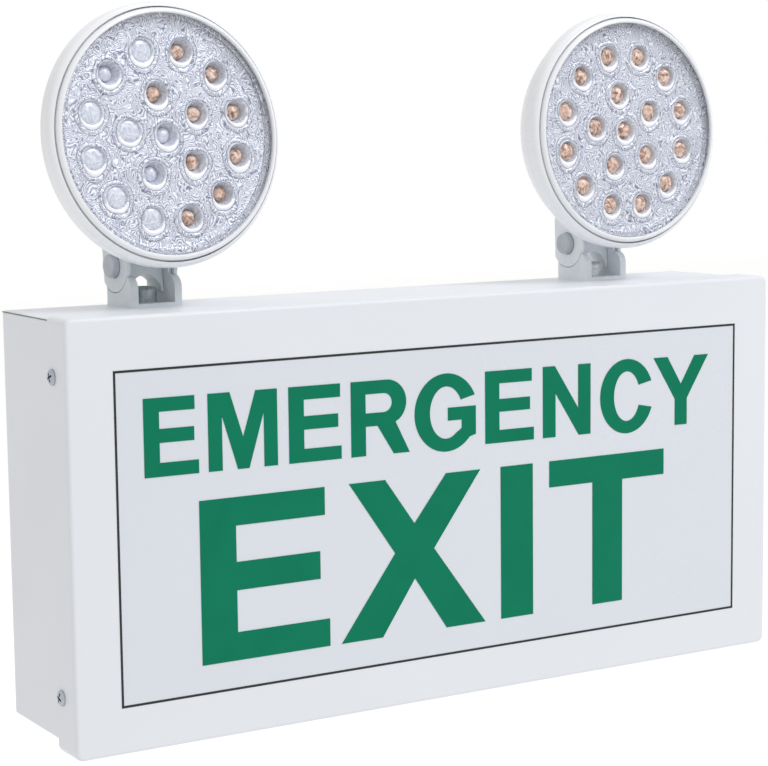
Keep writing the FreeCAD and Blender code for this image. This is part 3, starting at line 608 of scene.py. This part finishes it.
def letter_t(x, low, high, width, stem, bar):
    left = x + (width - stem) / 2
    return [[(left, low), (left + stem, low), (left + stem, high - bar), (x + width, high - bar),
             (x + width, high), (x, high), (x, high - bar), (left, high - bar)]]


def word_emergency():
    """Letters of the upper word, each from its own left edge."""
    low, high, bar = word_low, word_high, word_bar
    letters = [letter_e(-150.5, low, high, 7.1, bar, (23.4, 23.0, 24.9)),
               letter_m(-121.1, low, high, 32.8, 6.5),
               letter_e(-82.8, low, high, 7.4, bar, (25.4, 24.3, 25.8)),
               letter_r(-52.1, low, high, 28.4, 7.4, bar),
               letter_g(-19.6, low, high, 32.4, 8.0, bar),
               letter_e(17.9, low, high, 7.7, bar, (25.6, 24.6, 26.7)),
               letter_n(49.7, low, high, 27.1, 7.1),
               letter_c(82.4, low, high, 30.6, 8.0, bar),
               letter_y(113.8, low, high, 33.0, 7.3)]
    return [line for letter in letters for line in letter]


def word_exit():
    """Letters of the lower word, each from its own left edge."""
    low, high, bar = exit_low, exit_high, exit_bar
    letters = [letter_e(-126.0, low, high, 17.0, bar, (60.2, 57.6, 62.0)),
               letter_x(-58.2, low, high),
               letter_i(26.1, low, high, 17.8),
               letter_t(53.2, low, high, 66.8, 17.4, bar)]
    return [line for letter in letters for line in letter]


def film_word(name, lines, face, slope=0.0):
    """Thin film of filled outlines on a plane facing -Y, its rows at a slight slope to the panel."""
    curve = bpy.data.curves.new(name, "CURVE")
    curve.dimensions = "2D"
    curve.fill_mode = "BOTH"
    curve.extrude = legend_film / 2 * MM
    for line in lines:
        spline = curve.splines.new("POLY")
        spline.points.add(len(line) - 1)
        for point, (x, z) in zip(spline.points, line):
            point.co = (x * MM, (z + slope * (x - word_level_x)) * MM, 0, 1)
        spline.use_cyclic_u = True
    holder = bpy.data.objects.new(name, curve)
    bpy.context.scene.collection.objects.link(holder)
    bpy.context.view_layer.update()
    mesh = bpy.data.meshes.new_from_object(holder)
    bpy.data.objects.remove(holder)
    stand = Matrix.Rotation(math.pi / 2, 4, "X")
    mesh.transform(Matrix.Translation((0, face - legend_film / 2 * MM, 0)) @ stand)
    return piece(name, mesh, "housing", "opal_panel", legend_green)


panel_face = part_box("sign_panel")[0].y
film_word("legend_emergency", word_emergency(), panel_face, word_slope)
film_word("legend_exit", word_exit(), panel_face)


# Black line round the sign panel, a strip that fills its groove and laps a little over it

def border_line():
    face = panel_face / MM

    def corners(inset, y):
        x, z = border_half_x - inset, border_half_z - inset
        return [(-x, y, border_middle - z), (x, y, border_middle - z), (x, y, border_middle + z),
                (-x, y, border_middle + z)]

    front, back = face - border_proud, face + border_depth
    loops = [corners(0, front), corners(border_width, front), corners(border_width, back),
             corners(0, back)]
    vertices = [v for loop in loops for v in loop]
    faces = []
    for a in range(4):
        b = (a + 1) % 4
        for k in range(4):
            n = (k + 1) % 4
            faces.append((a * 4 + k, a * 4 + n, b * 4 + n, b * 4 + k))
    return piece("border_line", mesh_from("border_line", vertices, faces), "housing",
                 "black_plastic", border_black)


border_line()


# Cover screws with domed heads and cross recesses

def cross_arm(long_x, long_z):
    """Tapered cutter for one arm of a cross recess, as vertices and faces."""
    above = -screw_cutter_reach
    low = -screw_head_height + screw_cross_depth
    top = [(-long_x, above, -long_z), (long_x, above, -long_z), (long_x, above, long_z),
           (-long_x, above, long_z)]
    taper_x, taper_z = screw_cross_taper
    foot = [(x * taper_x, low, z * taper_z) for x, _, z in top]
    return top + foot, [(0, 1, 2, 3), (7, 6, 5, 4), (4, 5, 1, 0), (5, 6, 2, 1), (6, 7, 3, 2),
                         (7, 4, 0, 3)]


def screw_head():
    """Head about the y axis, its seat at y = 0 and its dome towards -y, with a cross cut in it."""
    profile = [(0, 0), (screw_head_radius, 0), (screw_head_radius, -screw_rim)]
    steps = 8
    for k in range(1, steps + 1):
        angle = math.radians(90 * k / steps)
        radius = screw_head_radius * math.cos(angle) ** screw_bulge if k < steps else 0
        profile.append((radius, -screw_rim - (screw_head_height - screw_rim) * math.sin(angle)))
    holder = bpy.data.objects.new("head", mesh_from("head", *turned(profile, 48)))
    bpy.context.scene.collection.objects.link(holder)
    spare = [holder]
    for long_x, long_z in ((screw_cross_length, screw_cross_width),
                           (screw_cross_width, screw_cross_length)):
        cutter = bpy.data.objects.new("cutter", mesh_from("cutter", *cross_arm(long_x, long_z)))
        bpy.context.scene.collection.objects.link(cutter)
        modifier = holder.modifiers.new("cut", "BOOLEAN")
        modifier.object = cutter
        modifier.operation = "DIFFERENCE"
        modifier.solver = "EXACT"
        spare.append(cutter)
    graph = bpy.context.evaluated_depsgraph_get()
    made = bpy.data.meshes.new_from_object(holder.evaluated_get(graph))
    for used in spare:
        bpy.data.objects.remove(used)
    return made


def cover_screws():
    low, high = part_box("cover_screws")
    cover_low, cover_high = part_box("front_cover")
    depth = (low.y + high.y) / 2
    pattern = screw_head()
    mesh = bpy.data.meshes.new("cover_screw_heads")
    work = bmesh.new()
    inset = screw_head_radius * MM
    for side, x in ((-1, cover_low.x), (1, cover_high.x)):
        for k, z in enumerate((low.z + inset, high.z - inset)):
            copy = pattern.copy()
            copy.transform(Matrix.Rotation(math.radians(screw_turn + screw_turn_step * k), 4, "Y"))
            copy.transform(Matrix.Rotation(side * math.pi / 2, 4, "Z"))
            copy.transform(Matrix.Translation((x, depth, z)))
            work.from_mesh(copy)
    work.to_mesh(mesh)
    made = piece("cover_screw_heads", mesh, "housing", "zinc_steel", screw_steel, 30.0)
    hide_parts("cover_screws")


cover_screws()


# Dark line of the folded seam at the top of the box's sides

def box_seams():
    low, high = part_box("rear_box")
    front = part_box("front_cover")[0].y
    top = high.z / MM - seam_drop
    vertices, faces = [], []
    for side, x in ((-1, low.x / MM), (1, high.x / MM)):
        outer, inner = x + side * seam_proud, x - side * seam_depth
        start = len(vertices)
        for y in (high.y / MM - seam_from_back, front / MM + seam_from_front):
            vertices += [(outer, y, top), (inner, y, top), (inner, y, top - seam_height),
                         (outer, y, top - seam_height)]
        for k in range(4):
            n = (k + 1) % 4
            faces.append(tuple(start + i for i in (k, n, n + 4, k + 4)))
        faces += [tuple(start + i for i in (3, 2, 1, 0)), tuple(start + i for i in (4, 5, 6, 7))]
    piece("box_seams", mesh_from("box_seams", vertices, faces), "housing", "black_plastic", seam_and_shadow_grey)


box_seams()


# Lamp heads

def tilt_joint(side):
    """Place and direction of a lamp's pivot bolt."""
    joint = next(j for j in frame["joints"] if j["name"] == side + "_tilt")
    return Vector(joint["pos_m"]), Vector(joint["axis"])


def head_frame(side):
    """Matrix from a lamp's own frame to the part's, worked out from its joint and its board."""
    pivot, axis = tilt_joint(side)
    pan = math.atan2(-axis.y, -axis.x)
    low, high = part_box(side + "_lamp_board")
    turn = Matrix.Rotation(pan, 4, "Z")
    reach = turn.inverted().to_3x3() @ ((low + high) / 2 - pivot)
    level = math.atan2(lamp_rise, -lamp_forward + lamp_board_middle)
    tilt = math.atan2(reach.z, reach.y) - level
    return (Matrix.Translation(pivot) @ turn @ Matrix.Rotation(tilt, 4, "X")
            @ Matrix.Translation((0, -lamp_forward, lamp_rise)))


def bolt_shadow_ring(side):
    """Painted shadow: a dark ring round the pivot bolt's head, on the ear that it bears on."""
    pivot, axis = tilt_joint(side)
    inner, outer = bolt_head_radius, bolt_head_radius + ring_width
    profile = [(inner, -ring_proud), (outer, -ring_proud), (outer, ring_depth), (inner, ring_depth),
               (inner, -ring_proud)]
    mesh = mesh_from(side + "_bolt_shadow_ring", *turned(profile, 64))
    place = pivot + axis * yoke_half_width * MM
    mesh.transform(Matrix.Translation(place) @ axis.to_track_quat("-Y", "Z").to_matrix().to_4x4())
    piece(side + "_bolt_shadow_ring", mesh, side + "_swivel", "black_plastic", seam_and_shadow_grey)


def cup_places():
    places = []
    for count, ring, start in cup_rings:
        for k in range(count):
            angle = math.radians(start + 360.0 * k / count)
            places.append((ring * math.sin(angle), ring * math.cos(angle)))
    return places


def dome_height(radius, edge, apex):
    """Place of a cap along the lamp's axis at a radius, from its edge's and its apex's."""
    sag = edge - apex
    ball = (lens_dome_edge ** 2 + sag ** 2) / (2 * sag)
    return apex + ball - math.sqrt(ball ** 2 - radius ** 2)


def ripple(x, z, seed):
    """Hammered ripple of the lens's face, in millimetres, from -1 to 1."""
    place = Vector((x / ripple_length, z / ripple_length, seed))
    coarse = math.sin(ripple_turns * noise.noise(place))
    return coarse * ripple_coarse + noise.noise(place * ripple_fine_step) * ripple_fine


def lens(side, seed):
    """Domed lens with a rippled face, a land round it and a smooth hollow back."""
    profile = []
    for k in range(lens_rings + 1):
        radius = lens_dome_edge * k / lens_rings
        profile.append((radius, dome_height(radius, -lens_land, -lens_dome)))
    hollow_edge = lens_dome_edge - lens_wall
    profile += [(lens_dome_edge, 0), (lens_edge, 0), (lens_edge, lens_thickness),
                (hollow_edge, lens_thickness)]
    steps = 16
    for k in range(steps, -1, -1):
        radius = hollow_edge * k / steps
        profile.append((radius, dome_height(radius, lens_thickness - lens_land,
                                            lens_thickness - lens_dome)))
    vertices, faces = turned(profile, lens_segments)
    rippled = 1 + lens_rings * lens_segments
    for k in range(rippled):
        x, y, z = vertices[k]
        radius = math.hypot(x, z)
        fade = min(1.0, max(0.0, (lens_dome_edge - radius) / ripple_fade))
        vertices[k] = (x, y + ripple_height * fade * (ripple(x, z, seed) + ripple_sink), z)
    return mesh_from(side + "_lens", vertices, faces)


def smooth_back(made):
    """Give all but the lens's rippled face the plain clear plastic."""
    made.data.materials.append(lens_back)
    rippled_faces = lens_segments * lens_rings
    for face in made.data.polygons[rippled_faces:]:
        face.material_index = 1


def cup_domes(side, look):
    """Round domes in the cups that share one look."""
    base_radius, seat, height = dome_shapes[side][look]
    profile = [(0, seat - height)]
    steps = 8
    for k in range(1, steps + 1):
        angle = math.radians(90 * k / steps)
        profile.append((base_radius * math.sin(angle), seat - height * math.cos(angle)))
    places = [place for k, place in enumerate(cup_places()) if k in cup_looks[side][look]]
    return mesh_from(side + "_domes", *merged([turned(profile, 32, place) for place in places]))


def cup_collars(side, seed):
    """Two raised rings round the mouth of every cup, a little out of round, running down inside it."""
    profile = [(radius, cup_front - height) for radius, height in collar_profile]
    slope = (cup_mouth - cup_throat) / (cup_back - cup_front)
    for down in liner_depths:
        profile.append((cup_mouth - liner_wall - slope * down, cup_front + down))
    parts = []
    for middle_x, middle_z in cup_places():
        vertices, faces = turned(profile, collar_segments)
        for k, (x, y, z) in enumerate(vertices):
            radius = math.hypot(x, z)
            outer = min(1.0, max(0.0, (radius - cup_mouth) / collar_blend))
            place = Vector((middle_x * collar_drift + x / radius * collar_step,
                            middle_z * collar_drift + z / radius * collar_step, seed))
            swell = noise.noise(place) * collar_spread - collar_shrink
            scale = 1 + collar_wobble * outer * swell
            reach = z / radius
            scale += outer * (collar_sag if reach < 0 else -collar_lift) * reach ** 2
            vertices[k] = (middle_x + x * scale, y, middle_z + z * scale)
        parts.append((vertices, faces))
    return mesh_from(side + "_collars", *merged(parts))


def finish_collars(made):
    """Give each band of the collars its finish: wrinkled film, painted shade in the grooves, and a
    painted highlight on the lower lip.
    """
    for material in (slots["silver_optic"], groove_painted_shade, lip_painted_highlight):
        made.data.materials.append(material)
    shades = {"cup": 0, "film": 1, "groove": 2}
    for number, face in enumerate(made.data.polygons):
        band = collar_bands[number // collar_segments % len(collar_bands)]
        below = abs(180 - 360 * (number % collar_segments + 0.5) / collar_segments)
        # Faces of the lip within that reach of the bottom take the painted highlight; the rest take the
        # cup film.
        face.material_index = shades.get(band, 3 if below < highlight_reach else 0)


def film_edge(side):
    """Flared edge of the silver film between the outer cups and the lens's seat."""
    profile = []
    steps = 12
    for k in range(steps + 1):
        part = k / steps
        wave = film_wave * math.sin(2 * math.pi * film_waves * part)
        profile.append((film_inner + (film_outer - film_inner) * part,
                        cup_front - film_lift - film_rise * part ** 2 + wave * (1 - part)))
    return mesh_from(side + "_film_edge", *turned(profile, 240))


for number, side in enumerate(("left", "right")):
    to_part = head_frame(side)
    body = side + "_head"
    lamp_pieces = [("phosphor_domes", cup_domes(side, "amber"), "led_phosphor", None),
                   ("film_edge", film_edge(side), "silver_optic", None)]
    for look in ("silver", "cap"):
        if cup_looks[side][look]:
            lamp_pieces.append((look + "_domes", cup_domes(side, look), "silver_optic", cup_film))
    for name, mesh, slot, material in lamp_pieces:
        mesh.transform(to_part)
        piece(side + "_" + name, mesh, body, slot, material)
    mesh = cup_collars(side, collar_seed + collar_seed_step * number)
    mesh.transform(to_part)
    finish_collars(piece(side + "_cup_collars", mesh, body, "silver_optic", cup_film, 60.0))
    mesh = lens(side, lens_seed + lens_seed_step * number)
    mesh.transform(to_part)
    made = piece(side + "_rippled_lens", mesh, body, "clear_lens")
    smooth_back(made)
    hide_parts(side + "_lamp_lens")
    bolt_shadow_ring(side)


# Floor, world and lamps

def floor():
    low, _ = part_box("front_cover")
    height = low.z - floor_drop
    mesh = bpy.data.meshes.new("floor")
    mesh.from_pydata([(-floor_half, -floor_half, height), (floor_half, -floor_half, height),
                      (floor_half, floor_half, height), (-floor_half, floor_half, height)],
                     [], [(0, 1, 2, 3)])
    paint = Paint("floor_white", floor_colour, 0.9)
    path = paint.node("ShaderNodeLightPath")
    seen = paint.math("MAXIMUM", path.outputs["Is Camera Ray"],
                      paint.math("MAXIMUM", path.outputs["Is Glossy Ray"],
                                 path.outputs["Is Transmission Ray"]))
    paint.shader.inputs["Emission Color"].default_value = (1, 1, 1, 1)
    paint.wire("Emission Strength", paint.spread(seen, 0.0, 1.0, floor_glow, floor_lift))
    mesh.materials.append(paint.material)
    made = bpy.data.objects.new("floor", mesh)
    bpy.context.scene.collection.objects.link(made)


def world():
    made = bpy.data.worlds.new("studio")
    bpy.context.scene.world = made
    made.use_nodes = True
    tree = made.node_tree
    background = tree.nodes["Background"]
    path = tree.nodes.new("ShaderNodeLightPath")
    seen = path.outputs["Is Camera Ray"]
    for other in ("Is Glossy Ray", "Is Transmission Ray"):
        either = tree.nodes.new("ShaderNodeMath")
        either.operation = "MAXIMUM"
        tree.links.new(seen, either.inputs[0])
        tree.links.new(path.outputs[other], either.inputs[1])
        seen = either.outputs[0]
    strength = tree.nodes.new("ShaderNodeMapRange")
    tree.links.new(seen, strength.inputs["Value"])
    strength.inputs["To Min"].default_value = sky_strength
    strength.inputs["To Max"].default_value = 1.0
    tree.links.new(strength.outputs["Result"], background.inputs["Strength"])
    tint = tree.nodes.new("ShaderNodeMix")
    tint.data_type = "RGBA"
    tree.links.new(seen, tint.inputs[0])
    tint.inputs[MIX_FIRST].default_value = (*sky_tint, 1)
    tint.inputs[MIX_SECOND].default_value = (1, 1, 1, 1)
    tree.links.new(tint.outputs[MIX_RESULT], background.inputs["Color"])


def soft_light(name, place, target, size, power, colour):
    data = bpy.data.lights.new(name, "AREA")
    data.shape = "DISK"
    data.size = size
    data.energy = power
    data.color = colour
    made = bpy.data.objects.new(name, data)
    bpy.context.scene.collection.objects.link(made)
    made.location = place
    made.rotation_mode = "QUATERNION"
    made.rotation_quaternion = (Vector(target) - Vector(place)).to_track_quat("-Z", "Y")


def camera():
    data = bpy.data.cameras.new("camera")
    data.lens = camera_lens
    data.sensor_width = sensor_width
    data.clip_start = 0.05
    data.clip_end = 40.0
    made = bpy.data.objects.new("camera", data)
    bpy.context.scene.collection.objects.link(made)
    turn = (Matrix.Rotation(math.radians(-camera_yaw), 4, "Z")
            @ Matrix.Rotation(math.radians(90 - camera_pitch), 4, "X")
            @ Matrix.Rotation(math.radians(camera_roll), 4, "Z"))
    made.matrix_world = Matrix.Translation(camera_place) @ turn
    bpy.context.scene.camera = made


floor()
world()
soft_light("key", **key_light)
soft_light("fill", **fill_light)
soft_light("top", **top_light)
camera()
bpy.context.scene.view_settings.view_transform = "Standard"
